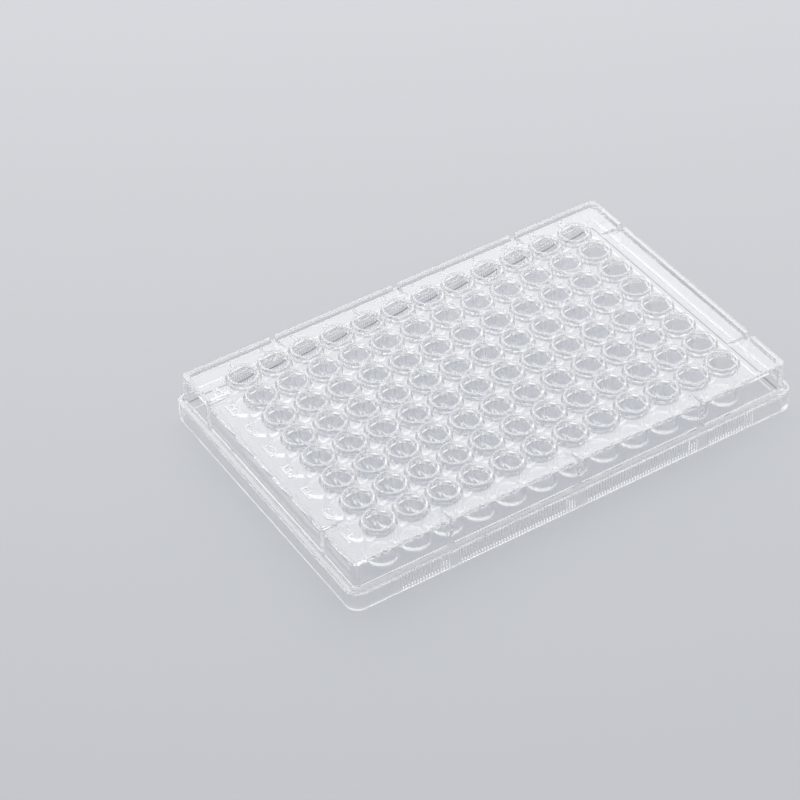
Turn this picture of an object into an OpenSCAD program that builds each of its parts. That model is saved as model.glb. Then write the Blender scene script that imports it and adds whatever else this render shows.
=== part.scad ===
// Flat-bottomed microplate with 96 wells, moulded in one piece.
// Origin at the centre of the footprint, on the face it stands on.
// X runs from column 1 to column 12, Y towards row A, Z up.

/* [Footprint] */
// Length of the flange
flange_l = 127.76; // [127.3:0.02:128.3]
// Width of the flange
flange_w = 85.48; // [85:0.02:86]
// Corner radius of the flange
flange_r = 3.18; // [2.8:0.02:4.2]
// Height of the well rims above the standing face
plate_h = 14.2; // [13.8:0.05:14.8]

/* [Skirt] */
// Height at which the flange's vertical face ends
flange_h = 5.7; // [5:0.1:6.2]
// Thickness of the skirt walls
wall_t = 1.4; // [1.1:0.05:1.5]
// How far the upper wall stands in from the flange
wall_inset = 1.75; // [1.5:0.05:2]
// Rise of the sloped shoulder between flange and wall
shoulder_rise = 0.35; // [0.2:0.05:0.8]
// Radius with which the shoulder sweeps up into the wall
sweep_r = 1.15; // [0.5:0.05:1.2]
// Lean of the upper wall over its height
wall_draft = 0.12; // [0.05:0.01:0.2]
// How far the rim lies below the well rims
rim_drop = 0.5; // [0.3:0.05:0.8]

/* [Deck] */
// How far the deck lies below the well rims
deck_drop = 1.2; // [1:0.05:1.5]
// Thickness of the deck
deck_t = 1.1; // [0.9:0.05:1.3]

/* [Wells] */
// Number of columns, along X
columns = 12; // [2:1:12]
// Number of rows, along Y
rows = 8; // [2:1:8]
// Distance between well centres
pitch = 9; // [8.9:0.05:9.1]
// Radius of a well at its mouth
mouth_r = 3.43; // [3.3:0.01:3.5]
// Radius of a well at its floor
floor_r = 3.2; // [3.1:0.01:3.3]
// Depth of a well
well_depth = 10.7; // [9:0.1:11]
// Thickness of a well's bottom
bottom_t = 1.15; // [0.9:0.05:1.4]
// Outer radius of the raised collar
collar_r = 4.08; // [3.9:0.01:4.15]
// Radius at which the collar's foot runs out on the deck
spread_r = 4.6; // [4.55:0.01:4.7]
// Rise of the collar's sloped foot
spread_rise = 0.36; // [0.2:0.02:0.5]
// Outer radius of a well's foot, under the deck
foot_r = 3.95; // [3.85:0.01:4.05]

/* [Grip] */
// Length of the ribbed band on each long side
band_l = 102; // [90:1:106]
// Distance between ribs
rib_pitch = 0.8; // [0.7:0.05:1]
// Depth of the valleys between ribs
rib_depth = 0.28; // [0.15:0.01:0.3]
// Width of the smooth pads in the band
pad_w = 2.6; // [2:0.1:4]

/* [Vents] */
// Width of the vent channels
vent_w = 1.9; // [1.4:0.1:2.2]
// Depth of the channels in the deck
vent_depth = 0.5; // [0.3:0.05:0.6]
// Length of the channels on the long sides
vent_l_long = 5.6; // [4.5:0.1:6]
// Length of the channels on the short sides
vent_l_short = 7; // [5:0.1:7.5]
// Places of the vents along the long sides, in pitches from the middle
vents_x = [-4, 0, 4];
// Places of the vents along the short sides, in pitches from the middle
vents_y = [-3, 3];

/* [Hidden] */
$fn = 64;
// Length by which cutting solids run past what they cut
past = 1;
// Edge radii of the flange and of the rim, outside and inside
shoulder_r = 0.25;
edge_r = 0.22;
rim_in_r = 0.35;
// Small chamfers of the base and of the well mouths
base_c = 0.25;
mouth_c = 0.08;
// Root radius inside a well, and the foot ring below it
well_root_r = 0.35;
foot_c = 0.3;
recess_drop = 0.2;
recess_r = foot_r - 0.65;

rim_z = plate_h - rim_drop;
deck_z = plate_h - deck_drop;
under_z = deck_z - deck_t;
floor_z = plate_h - well_depth;
foot_z = floor_z - bottom_t;
shoulder_z = flange_h + shoulder_rise;
rim_inset = wall_inset + wall_draft;
// The plate's inner corners turn about their own, deeper centres
pocket_r = 1.6;
cavity_r = 1;
pocket_inset = rim_inset + wall_t;
cavity_inset = wall_inset + wall_t;
// Lean of the rim's inner face over its height
pocket_lean = 0.12;
// Depth of the ribs' crests below the flange's face
band_sink = 0.05;
// Radius of a rib's round face, half the angle that it spans, and its facets
rib_r = (rib_pitch * rib_pitch / 4 + rib_depth * rib_depth) / (2 * rib_depth);
rib_turn = asin(rib_pitch / 2 / rib_r);
rib_facets = 4;

// Points of an arc of radius r about c, from angle a0 to angle a1
function arc(c, r, a0, a1, n = 4) =
    [for (i = [0:n]) let (a = a0 + (a1 - a0) * i / n) c + r * [cos(a), sin(a)]];

// A block with rounded vertical edges whose side face follows a section.
// The section's first coordinate is the distance out from the corner centres,
// which stand inset from the footprint's edge; its second is the height.
module section_block(section, inset)
{
    l = flange_l - 2 * inset;
    w = flange_w - 2 * inset;
    heights = [for (p = section) p[1]];
    z0 = min(heights);
    z1 = max(heights);
    outline = concat([[0, z0]], section, [[0, z1]]);
    translate([-l / 2, -w / 2, z0])
        cube([l, w, z1 - z0]);
    for (s = [0, 1])
        mirror([s, 0, 0])
            translate([l / 2, 0, 0])
                rotate([90, 0, 0])
                    linear_extrude(w, center = true)
                        polygon(outline);
    for (s = [0, 1])
        mirror([0, s, 0])
            translate([0, w / 2, 0])
                rotate([90, 0, 90])
                    linear_extrude(l, center = true)
                        polygon(outline);
    for (sx = [0, 1], sy = [0, 1])
        mirror([sx, 0, 0])
            mirror([0, sy, 0])
                translate([l / 2, w / 2, 0])
                    rotate_extrude(angle = 90)
                        polygon(outline);
}

// Outside of the plate: flange, sloped shoulder, wall and rounded rim
module outside()
{
    wall_u = flange_r - wall_inset;
    rim_u = flange_r - rim_inset;
    slope = atan2(shoulder_rise, wall_inset);
    // An arc that touches both a vertical face and the slope has its centre this far
    // above or below the point where those two meet, for each unit of radius
    off = 1 / cos(slope) - tan(slope);
    section_block(concat(
        [[flange_r - base_c, 0], [flange_r, base_c]],
        arc([flange_r - shoulder_r, flange_h - shoulder_r * off], shoulder_r, 0, 90 - slope),
        arc([wall_u + sweep_r, shoulder_z + sweep_r * off], sweep_r, 270 - slope, 180, 6),
        arc([rim_u - edge_r, rim_z - edge_r], edge_r, 0, 90, 3)
    ), flange_r);
}

// Shallow tray above the deck, inside the rim
module pocket()
{
    section_block(concat(
        [[pocket_r - pocket_lean, deck_z]],
        arc([pocket_r + rim_in_r, rim_z - rim_in_r], rim_in_r, 180, 90),
        [[pocket_r + rim_in_r, rim_z + past]]
    ), pocket_inset + pocket_r);
}

// Open space under the deck, inside the skirt
module cavity()
{
    lip_r = cavity_r + wall_inset;
    section_block([
        [lip_r + base_c, -past],
        [lip_r + base_c, 0],
        [lip_r, base_c],
        [lip_r, flange_h - wall_t],
        [cavity_r, shoulder_z - wall_t],
        [cavity_r, under_z]
    ], cavity_inset + cavity_r);
}

// One well as a solid: foot, tapered tube, spread collar
module well_body()
{
    rotate_extrude()
        polygon([
            [0, foot_z + recess_drop],
            [recess_r - recess_drop, foot_z + recess_drop],
            [recess_r, foot_z],
            [foot_r - foot_c, foot_z],
            [foot_r, foot_z + foot_c],
            [collar_r, under_z],
            [collar_r, deck_z - deck_t / 2],
            [spread_r, deck_z - deck_t / 2],
            [spread_r, deck_z],
            [collar_r, deck_z + spread_rise],
            [collar_r, plate_h - mouth_c],
            [collar_r - mouth_c, plate_h],
            [0, plate_h]
        ]);
}

// Inside of one well: flat floor, small root radius, tapered wall
module well_bore()
{
    rotate_extrude()
        polygon(concat(
            [[0, floor_z]],
            arc([floor_r - well_root_r, floor_z + well_root_r], well_root_r, 270, 360, 3),
            [[mouth_r, plate_h - mouth_c],
             [mouth_r + mouth_c, plate_h],
             [mouth_r + mouth_c, plate_h + past],
             [0, plate_h + past]]
        ));
}

module at_wells()
{
    for (c = [0:columns - 1], r = [0:rows - 1])
        translate([(c - (columns - 1) / 2) * pitch, ((rows - 1) / 2 - r) * pitch, 0])
            children();
}

// Places of the vents, each with +X pointing out through the wall
module at_vents_long()
{
    for (x = vents_x, s = [0, 1])
        mirror([0, s, 0])
            translate([x * pitch, flange_w / 2, 0])
                rotate([0, 0, 90])
                    children();
}

module at_vents_short()
{
    for (y = vents_y, s = [0, 1])
        mirror([s, 0, 0])
            translate([flange_l / 2, y * pitch, 0])
                children();
}

// Channel that dips into the deck, opens the rim and runs down the wall as a flute
module vent(l)
{
    start = -wall_inset - l;
    dip = 2.4;
    flute_r = (vent_w * vent_w / 4 + vent_depth * vent_depth) / (2 * vent_depth);
    rotate([90, 0, 0])
        linear_extrude(vent_w, center = true)
            polygon([
                [start, deck_z],
                [start + dip, deck_z - vent_depth],
                [0, deck_z - vent_depth],
                [0, rim_z + past],
                [start, rim_z + past]
            ]);
    translate([flute_r - vent_depth - wall_inset, 0, shoulder_z])
        cylinder(r = flute_r, h = rim_z + past - shoulder_z);
}

// Cutter for one sunk band of round ribs, over the whole height of the flange
module rib_band(x0, x1)
{
    n = floor((x1 - x0) / rib_pitch);
    linear_extrude(flange_h + 2 * past)
        translate([x0, 0])
            polygon(concat(
                [[0, past]],
                [for (i = [0:n - 1], k = [0:rib_facets - 1])
                    let (a = 90 + rib_turn * (1 - 2 * k / rib_facets))
                        [(i + 1 / 2) * rib_pitch, -band_sink - rib_r]
                        + rib_r * [cos(a), sin(a)]],
                [[n * rib_pitch, -band_sink - rib_depth], [n * rib_pitch, past]]
            ));
}

// Ribbed bands of both long sides, with smooth pads left between them at the vents
module grip()
{
    edges = concat([-band_l / 2], [for (x = vents_x, k = [-1, 1]) x * pitch + k * pad_w / 2],
                   [band_l / 2]);
    for (s = [0, 1], i = [0:2:len(edges) - 2])
        mirror([0, s, 0])
            translate([0, flange_w / 2, -past])
                rib_band(edges[i], edges[i + 1]);
}

module well_plate()
{
    color([0.86, 0.89, 0.92, 0.45])
        difference()
        {
            union()
            {
                difference()
                {
                    outside();
                    pocket();
                    cavity();
                }
                at_wells() well_body();
            }
            at_wells() well_bore();
            at_vents_long() vent(vent_l_long);
            at_vents_short() vent(vent_l_short);
            grip();
        }
}

well_plate();
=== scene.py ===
"""Clear 96-well microplate on a pale floor, under soft studio light."""
import math

import bpy
import bmesh
from mathutils import Matrix, Vector


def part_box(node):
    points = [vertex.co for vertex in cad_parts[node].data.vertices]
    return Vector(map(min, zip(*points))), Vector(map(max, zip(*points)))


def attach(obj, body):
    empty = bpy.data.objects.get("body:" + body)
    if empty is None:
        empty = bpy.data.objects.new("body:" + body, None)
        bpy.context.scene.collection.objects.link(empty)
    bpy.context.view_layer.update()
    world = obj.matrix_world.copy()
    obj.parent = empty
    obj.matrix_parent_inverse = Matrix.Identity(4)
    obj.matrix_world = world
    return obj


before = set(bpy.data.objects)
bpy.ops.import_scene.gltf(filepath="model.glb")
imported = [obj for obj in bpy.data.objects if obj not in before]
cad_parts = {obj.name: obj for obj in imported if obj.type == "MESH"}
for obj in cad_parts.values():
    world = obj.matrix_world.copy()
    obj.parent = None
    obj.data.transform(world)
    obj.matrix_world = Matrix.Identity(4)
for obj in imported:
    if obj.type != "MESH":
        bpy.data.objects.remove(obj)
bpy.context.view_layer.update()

MM = 0.001

# Camera: turned about Z, lifted, rolled, and its distance from the point it looks at
CAMERA_TURN = math.radians(-30.04)
CAMERA_LIFT = math.radians(40.82)
CAMERA_ROLL = math.radians(3.22)
CAMERA_DISTANCE = 687.3 * MM
CAMERA_LENS = 126.18
CAMERA_SENSOR = 36.0
CAMERA_NEAR = 10 * MM
AIM = Vector((-20.0, 6.3, 8.9)) * MM

# The floor, a hair below the face that the plate stands on
FLOOR_HALF = 3.0
FLOOR_GAP = 0.03 * MM
FLOOR_COLOUR = (0.61, 0.617, 0.632, 1)
FLOOR_ROUGHNESS = 0.6

# Light runs a long way inside clear walls before it leaves them
LIGHT_BOUNCES = 128

# Surroundings that gloss and clear plastic look at: sine of the height, colour
SEEN_TONES = [(0.0, (0.15, 0.15, 0.155, 1)), (0.2, (0.32, 0.32, 0.33, 1)), (0.5, (1.0, 1.0, 1.0, 1))]
# The even light on the floor
AMBIENT_COLOUR = (0.9, 0.94, 1.0, 1)
AMBIENT = 0.45

# Clear polystyrene, and what a wall of it leaves of the light that falls through
CLEAR_TINT = (0.985, 0.988, 0.993)
CLEAR_IOR = 1.59
PASSING_TINT = (0.975, 0.977, 0.98, 1)
# Roughness from the clearest to the dullest patches, and depth of the surface's waves
MOULDED_ROUGHNESS = (0.0, 0.05)
MOULDED_WAVES = 0.0005 * MM
LETTERING_ROUGHNESS = (0.3, 0.5)
LETTERING_WAVES = 0.003 * MM
# The patches: their fineness, and the part of the noise where they begin and are dullest
PATCH_SCALE = 90.0
PATCH_DETAIL = 3.0
DULL_FROM = 0.6
DULL_FULL = 0.85
WAVE_SCALE = 260.0
WAVE_DETAIL = 2.0

# The softbox stands where the deck mirrors it to the camera; its place, size and power
SOFTBOX_AT = (0.6, 1.05, 1.05)
SOFTBOX_SIZE = (2.0, 1.6)
SOFTBOX_POWER = 25.0

# The grid of wells, read off the plate's own box
PITCH = 9 * MM
COLUMNS = 12
ROWS = 8
DECK_DROP = 1.2 * MM

# Raised letters and numbers
LETTER_H = 4.35 * MM
LETTER_W = 2.4 * MM
LETTER_STROKE = 0.42 * MM
LETTER_X = -57.5 * MM
DIGIT_H = 2.0 * MM
DIGIT_W = 1.1 * MM
DIGIT_STEP = 1.4 * MM
DIGIT_STROKE = 0.3 * MM
NUMBER_Y = 37.55 * MM
NUMBER_SHIFT = -0.2 * MM
RAISED = 0.4 * MM
SUNK = 0.02 * MM
CHAMFER = 0.07 * MM


def arc(cx, cy, rx, ry, start, stop, steps=10):
    """Points on an ellipse, from one angle to another, in degrees."""
    angles = [math.radians(start + (stop - start) * i / steps) for i in range(steps + 1)]
    return [(cx + rx * math.cos(a), cy + ry * math.sin(a)) for a in angles]


# Strokes of each sign, in a cell one unit wide and one high
GLYPHS = {
    "A": [[(0, 0), (0.5, 1)], [(1, 0), (0.5, 1)], [(0.2, 0.38), (0.8, 0.38)]],
    "B": [[(0, 0), (0, 1)],
          [(0, 1)] + arc(0.55, 0.765, 0.38, 0.235, 90, -90) + [(0, 0.53)],
          arc(0.6, 0.265, 0.4, 0.265, 90, -90) + [(0, 0)]],
    "C": [arc(0.55, 0.5, 0.55, 0.5, 42, 318, 20)],
    "D": [[(0, 0), (0, 1)], [(0, 1)] + arc(0.4, 0.5, 0.6, 0.5, 90, -90, 16) + [(0, 0)]],
    "E": [[(0, 0), (0, 1)], [(0, 1), (1, 1)], [(0, 0.53), (0.9, 0.53)], [(0, 0), (1, 0)]],
    "F": [[(0, 0), (0, 1)], [(0, 1), (1, 1)], [(0, 0.53), (0.9, 0.53)]],
    "G": [arc(0.55, 0.5, 0.55, 0.5, 42, 318, 20), [(0.6, 0.42), (1, 0.42), (1, 0.14)]],
    "H": [[(0, 0), (0, 1)], [(1, 0), (1, 1)], [(0, 0.52), (1, 0.52)]],
    "0": [arc(0.5, 0.5, 0.5, 0.5, 0, 360, 24)],
    "1": [[(0.55, 0), (0.55, 1)], [(0.55, 1), (0.15, 0.72)]],
    "2": [arc(0.5, 0.7, 0.5, 0.3, 165, -35, 12), [(0.91, 0.53), (0, 0)], [(0, 0), (1, 0)]],
    "3": [arc(0.45, 0.755, 0.45, 0.245, 140, -90, 12), arc(0.45, 0.265, 0.5, 0.265, 90, -140, 12)],
    "4": [[(0.7, 0), (0.7, 1)], [(0.7, 1), (0, 0.3)], [(0, 0.3), (1, 0.3)]],
    "5": [[(0.9, 1), (0.15, 1)], [(0.15, 1), (0.08, 0.56)],
          [(0.08, 0.56)] + arc(0.48, 0.32, 0.5, 0.32, 110, -145, 14)],
    "6": [arc(0.5, 0.32, 0.5, 0.32, 0, 360, 20), arc(0.95, 0.32, 0.95, 0.68, 180, 105, 8)],
    "7": [[(0, 1), (1, 1)], [(1, 1), (0.35, 0)]],
    "8": [arc(0.5, 0.76, 0.42, 0.24, 0, 360, 20), arc(0.5, 0.26, 0.5, 0.26, 0, 360, 20)],
    "9": [arc(0.5, 0.68, 0.5, 0.32, 0, 360, 20), arc(0.05, 0.68, 0.95, 0.68, 0, -75, 8)],
}


def round_end(centre, side, half, steps=6):
    """Points of a half circle from one side of a stroke's end to the other."""
    turn = math.atan2(side.y, side.x)
    return [centre + Vector((math.cos(turn - math.pi * k / steps),
                             math.sin(turn - math.pi * k / steps))) * half
            for k in range(1, steps)]


def stroke_mesh(name, points, width, top, bottom):
    """A closed solid along a line of points: round ends, straight walls, chamfered top."""
    closed = (Vector(points[0]) - Vector(points[-1])).length < 1e-9
    line = [Vector(p) for p in (points[:-1] if closed else points)]
    count = len(line)
    sides = []
    for i, point in enumerate(line):
        ahead = line[(i + 1) % count] if closed or i + 1 < count else point
        behind = line[i - 1] if closed or i > 0 else point
        along = (ahead - behind).normalized()
        sides.append(Vector((-along.y, along.x)))
    levels = ((width / 2, bottom), (width / 2, top - CHAMFER), (width / 2 - CHAMFER, top))
    mesh = bmesh.new()
    rings = []
    for half, z in levels:
        left = [p + n * half for p, n in zip(line, sides)]
        right = [p - n * half for p, n in zip(line, sides)]
        if closed:
            rings.append([[mesh.verts.new((*p, z)) for p in left],
                          [mesh.verts.new((*p, z)) for p in right]])
            continue
        loop = list(left)
        loop += round_end(line[-1], sides[-1], half)
        loop += reversed(right)
        loop += round_end(line[0], -sides[0], half)
        rings.append([[mesh.verts.new((*p, z)) for p in loop]])
    for low, high in zip(rings, rings[1:]):
        for ring_low, ring_high in zip(low, high):
            for i in range(len(ring_low)):
                j = (i + 1) % len(ring_low)
                mesh.faces.new((ring_low[i], ring_low[j], ring_high[j], ring_high[i]))
    for ring in (rings[0], rings[-1]):
        if closed:
            left, right = ring
            for i in range(count):
                j = (i + 1) % count
                mesh.faces.new((left[i], left[j], right[j], right[i]))
        else:
            mesh.faces.new(ring[0])
    bmesh.ops.recalc_face_normals(mesh, faces=mesh.faces)
    data = bpy.data.meshes.new(name)
    mesh.to_mesh(data)
    mesh.free()
    piece = bpy.data.objects.new(name, data)
    bpy.context.scene.collection.objects.link(piece)
    return piece


def place(points, corner, width, height):
    """A sign's points, moved from its unit cell to a cell of the given size."""
    return [(corner[0] + x * width, corner[1] + y * height) for x, y in points]


def sign_strokes(text, centre, width, height, step, stroke):
    """Strokes of a short text centred on a point, as lists of points in metres."""
    found = []
    w, h = width - stroke, height - stroke
    for i, character in enumerate(text):
        x = centre[0] + (i - (len(text) - 1) / 2) * step - w / 2
        for points in GLYPHS[character]:
            found.append(place(points, (x, centre[1] - h / 2), w, h))
    return found


def raised_piece(name, signs, deck):
    """One piece from all the signs' strokes; each sign's strokes are united."""
    united = []
    for label, strokes, width in signs:
        parts = [stroke_mesh(f"{label}_{i}", p, width, deck + RAISED, deck - SUNK)
                 for i, p in enumerate(strokes)]
        united.append(unite(parts))
    whole = bpy.data.meshes.new(name)
    mesh = bmesh.new()
    for part in united:
        mesh.from_mesh(part.data)
        bpy.data.objects.remove(part)
    mesh.to_mesh(whole)
    mesh.free()
    piece = bpy.data.objects.new(name, whole)
    bpy.context.scene.collection.objects.link(piece)
    return piece


def unite(parts):
    """The union of some closed pieces, as the first of them."""
    first = parts[0]
    for other in parts[1:]:
        cut = first.modifiers.new("unite", "BOOLEAN")
        cut.operation = "UNION"
        cut.solver = "MANIFOLD"
        cut.object = other
        done = bpy.data.meshes.new_from_object(
            first.evaluated_get(bpy.context.evaluated_depsgraph_get()))
        first.modifiers.clear()
        first.data = done
        bpy.data.objects.remove(other)
    return first


def polystyrene(name, roughness, waves):
    """Clear moulded polystyrene: glossy with faint dull patches; lamps' light passes through."""
    material = bpy.data.materials.new(name)
    material.use_nodes = True
    nodes = material.node_tree.nodes
    links = material.node_tree.links
    nodes.clear()
    out = nodes.new("ShaderNodeOutputMaterial")
    plastic = nodes.new("ShaderNodeBsdfPrincipled")
    plastic.inputs["Base Color"].default_value = (*CLEAR_TINT, 1)
    plastic.inputs["Transmission Weight"].default_value = 1.0
    plastic.inputs["IOR"].default_value = CLEAR_IOR
    place_at = nodes.new("ShaderNodeTexCoord")
    cloud = nodes.new("ShaderNodeTexNoise")
    cloud.inputs["Scale"].default_value = PATCH_SCALE
    cloud.inputs["Detail"].default_value = PATCH_DETAIL
    links.new(place_at.outputs["Object"], cloud.inputs["Vector"])
    spread = nodes.new("ShaderNodeMapRange")
    spread.inputs["From Min"].default_value = DULL_FROM
    spread.inputs["From Max"].default_value = DULL_FULL
    spread.inputs["To Min"].default_value = roughness[0]
    spread.inputs["To Max"].default_value = roughness[1]
    links.new(cloud.outputs["Fac"], spread.inputs["Value"])
    links.new(spread.outputs["Result"], plastic.inputs["Roughness"])
    wave = nodes.new("ShaderNodeTexNoise")
    wave.inputs["Scale"].default_value = WAVE_SCALE
    wave.inputs["Detail"].default_value = WAVE_DETAIL
    links.new(place_at.outputs["Object"], wave.inputs["Vector"])
    relief = nodes.new("ShaderNodeBump")
    relief.inputs["Strength"].default_value = 1.0
    relief.inputs["Distance"].default_value = waves
    links.new(wave.outputs["Fac"], relief.inputs["Height"])
    links.new(relief.outputs["Normal"], plastic.inputs["Normal"])
    passing = nodes.new("ShaderNodeBsdfTransparent")
    passing.inputs["Color"].default_value = PASSING_TINT
    rays = nodes.new("ShaderNodeLightPath")
    through = nodes.new("ShaderNodeMath")
    through.operation = "MAXIMUM"
    links.new(rays.outputs["Is Shadow Ray"], through.inputs[0])
    links.new(rays.outputs["Is Diffuse Ray"], through.inputs[1])
    mix = nodes.new("ShaderNodeMixShader")
    links.new(through.outputs["Value"], mix.inputs["Fac"])
    links.new(plastic.outputs["BSDF"], mix.inputs[1])
    links.new(passing.outputs["BSDF"], mix.inputs[2])
    links.new(mix.outputs["Shader"], out.inputs["Surface"])
    return material


def give(piece, material):
    """The material in every slot of a piece, or in a first one."""
    slots = piece.material_slots
    if len(slots):
        for slot in slots:
            slot.material = material
    else:
        piece.data.materials.append(material)


def studio_world():
    """Even light for the floor; graded surroundings where gloss or clear plastic looks at them."""
    world = bpy.data.worlds.new("studio")
    world.use_nodes = True
    nodes = world.node_tree.nodes
    links = world.node_tree.links
    nodes.clear()
    out = nodes.new("ShaderNodeOutputWorld")
    light = nodes.new("ShaderNodeBackground")
    light.inputs["Color"].default_value = AMBIENT_COLOUR
    light.inputs["Strength"].default_value = AMBIENT
    seen = nodes.new("ShaderNodeBackground")
    seen.inputs["Strength"].default_value = 1.0
    rays = nodes.new("ShaderNodeLightPath")
    either = nodes.new("ShaderNodeMath")
    either.operation = "MAXIMUM"
    links.new(rays.outputs["Is Glossy Ray"], either.inputs[0])
    links.new(rays.outputs["Is Transmission Ray"], either.inputs[1])
    direction = nodes.new("ShaderNodeTexCoord")
    split = nodes.new("ShaderNodeSeparateXYZ")
    links.new(direction.outputs["Generated"], split.inputs["Vector"])
    ramp = nodes.new("ShaderNodeValToRGB")
    ramp.color_ramp.interpolation = "EASE"
    ramp.color_ramp.elements[0].position = SEEN_TONES[0][0]
    ramp.color_ramp.elements[0].color = SEEN_TONES[0][1]
    ramp.color_ramp.elements[1].position = SEEN_TONES[1][0]
    ramp.color_ramp.elements[1].color = SEEN_TONES[1][1]
    for height, colour in SEEN_TONES[2:]:
        ramp.color_ramp.elements.new(height).color = colour
    links.new(split.outputs["Z"], ramp.inputs["Fac"])
    links.new(ramp.outputs["Color"], seen.inputs["Color"])
    mix = nodes.new("ShaderNodeMixShader")
    links.new(either.outputs["Value"], mix.inputs["Fac"])
    links.new(light.outputs["Background"], mix.inputs[1])
    links.new(seen.outputs["Background"], mix.inputs[2])
    links.new(mix.outputs["Shader"], out.inputs["Surface"])
    return world


def studio(low):
    """Floor, surroundings and the soft lamp."""
    scene = bpy.context.scene
    scene.view_settings.view_transform = "Standard"
    scene.cycles.max_bounces = LIGHT_BOUNCES
    scene.cycles.transmission_bounces = LIGHT_BOUNCES
    scene.cycles.glossy_bounces = LIGHT_BOUNCES
    scene.cycles.transparent_max_bounces = LIGHT_BOUNCES
    scene.world = studio_world()
    data = bpy.data.meshes.new("floor")
    half = FLOOR_HALF
    level = low.z - FLOOR_GAP
    corners = [(-half, -half, level), (half, -half, level), (half, half, level), (-half, half, level)]
    data.from_pydata(corners, [], [(0, 1, 2, 3)])
    floor = bpy.data.objects.new("floor", data)
    scene.collection.objects.link(floor)
    material = bpy.data.materials.new("pale_floor")
    material.use_nodes = True
    shade = material.node_tree.nodes["Principled BSDF"]
    shade.inputs["Base Color"].default_value = FLOOR_COLOUR
    shade.inputs["Roughness"].default_value = FLOOR_ROUGHNESS
    floor.data.materials.append(material)
    softbox()


def softbox():
    """One large soft lamp. Surfaces mirror it, but it isn't seen through the clear plastic."""
    data = bpy.data.lights.new("softbox", "AREA")
    data.shape = "RECTANGLE"
    data.size, data.size_y = SOFTBOX_SIZE
    data.energy = SOFTBOX_POWER
    lamp = bpy.data.objects.new("softbox", data)
    lamp.location = SOFTBOX_AT
    lamp.rotation_euler = (-Vector(SOFTBOX_AT)).to_track_quat("-Z", "Y").to_euler()
    lamp.visible_transmission = False
    bpy.context.scene.collection.objects.link(lamp)


def camera():
    """The camera, turned, lifted and rolled about the point that it looks at."""
    back = Vector((math.sin(CAMERA_TURN) * math.cos(CAMERA_LIFT),
                   -math.cos(CAMERA_TURN) * math.cos(CAMERA_LIFT),
                   math.sin(CAMERA_LIFT)))
    right = Vector((math.cos(CAMERA_TURN), math.sin(CAMERA_TURN), 0))
    up = back.cross(right)
    level = Matrix((right, up, back)).transposed()
    turned = level @ Matrix.Rotation(-CAMERA_ROLL, 3, "Z")
    data = bpy.data.cameras.new("camera")
    data.lens = CAMERA_LENS
    data.sensor_width = CAMERA_SENSOR
    data.clip_start = CAMERA_NEAR
    eye = bpy.data.objects.new("camera", data)
    eye.matrix_world = Matrix.Translation(AIM + back * CAMERA_DISTANCE) @ turned.to_4x4()
    bpy.context.scene.collection.objects.link(eye)
    bpy.context.scene.camera = eye


def lettering(high):
    """Row letters on the left of the deck and column numbers at its far side."""
    deck = high.z - DECK_DROP
    rows = []
    for r in range(ROWS):
        y = ((ROWS - 1) / 2 - r) * PITCH
        label = "ABCDEFGH"[r]
        rows.append((label, sign_strokes(label, (LETTER_X, y), LETTER_W, LETTER_H, 0, LETTER_STROKE),
                     LETTER_STROKE))
    columns = []
    for c in range(COLUMNS):
        x = (c - (COLUMNS - 1) / 2) * PITCH + NUMBER_SHIFT
        label = str(c + 1)
        columns.append((label, sign_strokes(label, (x, NUMBER_Y), DIGIT_W, DIGIT_H, DIGIT_STEP,
                                            DIGIT_STROKE), DIGIT_STROKE))
    return raised_piece("row_letters", rows, deck), raised_piece("column_numbers", columns, deck)


low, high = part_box("well_plate")
camera()
studio(low)
clear = polystyrene("clear_polystyrene_moulded", MOULDED_ROUGHNESS, MOULDED_WAVES)
satin = polystyrene("clear_polystyrene_lettering", LETTERING_ROUGHNESS, LETTERING_WAVES)
give(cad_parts["well_plate"], clear)
for piece in lettering(high):
    give(piece, satin)
    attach(piece, "root")
